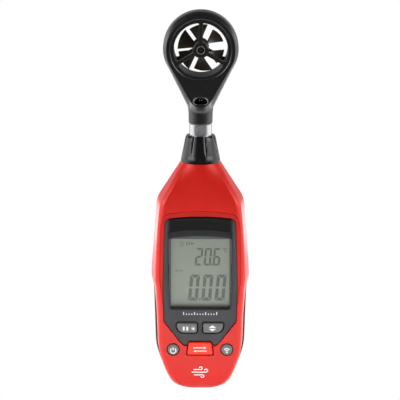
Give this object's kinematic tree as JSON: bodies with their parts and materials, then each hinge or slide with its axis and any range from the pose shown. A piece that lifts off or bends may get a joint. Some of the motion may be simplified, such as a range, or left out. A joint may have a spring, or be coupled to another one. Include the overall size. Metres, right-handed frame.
{
  "type": "handheld vane anemometer",
  "caption": "Handheld weather meter: tapered two-shell handle with a display and keys, a fluted collar, a metal neck and a round head with a spinning vane.",
  "frame": {"origin": "under the middle of the bottom end of the handle, half way between the key tops and the back", "axes": "+Z along the handle to the vane head, -Y out of the display, +X to the right of the display"},
  "size_m": [0.0452, 0.0284, 0.1756],
  "materials": {
    "red_shell": "satin",
    "black_shell": "fine texture",
    "dark_bezel": "satin",
    "clear_lens": "clear",
    "lcd_glass": "satin",
    "light_guide": "satin",
    "pink_silicone": "matte",
    "grey_silicone": "matte",
    "grey_key": "satin",
    "red_key": "satin",
    "board": "solder mask",
    "black_resin": "moulded",
    "tin_plate": "satin",
    "ivory_plastic": "satin",
    "lead_jacket": "matte",
    "gloss_black": "polished",
    "neck_metal": "satin",
    "head_black": "satin",
    "vane_black": "satin",
    "bearing_brass": "turned",
    "shaft_steel": "ground",
    "screw_steel": "zinc",
    "insert_brass": "knurled",
    "cell_jacket": "printed sleeve"
  },
  "bodies": {
    "handle": {"front_shell": "red_shell", "rear_shell": "black_shell", "bezel": "dark_bezel", "lens": "clear_lens", "lcd_panel": "lcd_glass", "backlight_panel": "light_guide", "zebra_strip": "pink_silicone", "keypad_mat": "grey_silicone", "dome_switches": "tin_plate", "pcb": "board", "controller_chip": "black_resin", "radio_module": "tin_plate", "lead_socket": "ivory_plastic", "sensor_lead": "lead_jacket", "collar": "gloss_black", "neck_tube": "neck_metal", "neck_sleeve": "head_black", "head_front": "head_black", "head_rear": "head_black", "front_spider": "vane_black", "rear_spider": "vane_black", "front_bearing": "bearing_brass", "rear_bearing": "bearing_brass", "pickup_sensor": "black_resin", "thermistor": "black_resin", "case_screws": "screw_steel", "board_screws": "screw_steel", "head_screws": "screw_steel", "tripod_insert": "insert_brass", "battery_cells": "cell_jacket", "contact_plates": "tin_plate", "battery_springs": "tin_plate"},
    "vane": {"impeller": "vane_black", "vane_shaft": "shaft_steel"},
    "door": {"battery_door": "black_shell"},
    "hold_key": {"key_hold": "grey_key"},
    "max_min_key": {"key_max_min": "grey_key"},
    "units_key": {"key_units": "red_key"},
    "power_key": {"key_power": "grey_key"},
    "wireless_key": {"key_wireless": "grey_key"}
  },
  "joints": [
    {"name": "vane_spin", "type": "hinge", "parent": "handle", "child": "vane", "pos_m": [0, 0, 0.1585], "axis": [0, 1, 0], "continuous": true},
    {"name": "door_slide", "type": "slide", "parent": "handle", "child": "door", "axis": [0, 0, -1], "range_m": [0, 0.076]},
    {"name": "hold_press", "type": "slide", "parent": "handle", "child": "hold_key", "axis": [0, 1, 0], "range_m": [0, 0.0008], "stiffness_N_per_m": 1200, "springref_m": -0.0003},
    {"name": "max_min_press", "type": "slide", "parent": "handle", "child": "max_min_key", "axis": [0, 1, 0], "range_m": [0, 0.0008], "stiffness_N_per_m": 1200, "springref_m": -0.0003},
    {"name": "units_press", "type": "slide", "parent": "handle", "child": "units_key", "axis": [0, 1, 0], "range_m": [0, 0.0008], "stiffness_N_per_m": 1200, "springref_m": -0.0003},
    {"name": "power_press", "type": "slide", "parent": "handle", "child": "power_key", "axis": [0, 1, 0], "range_m": [0, 0.0008], "stiffness_N_per_m": 1200, "springref_m": -0.0003},
    {"name": "wireless_press", "type": "slide", "parent": "handle", "child": "wireless_key", "axis": [0, 1, 0], "range_m": [0, 0.0008], "stiffness_N_per_m": 1200, "springref_m": -0.0003}
  ]
}
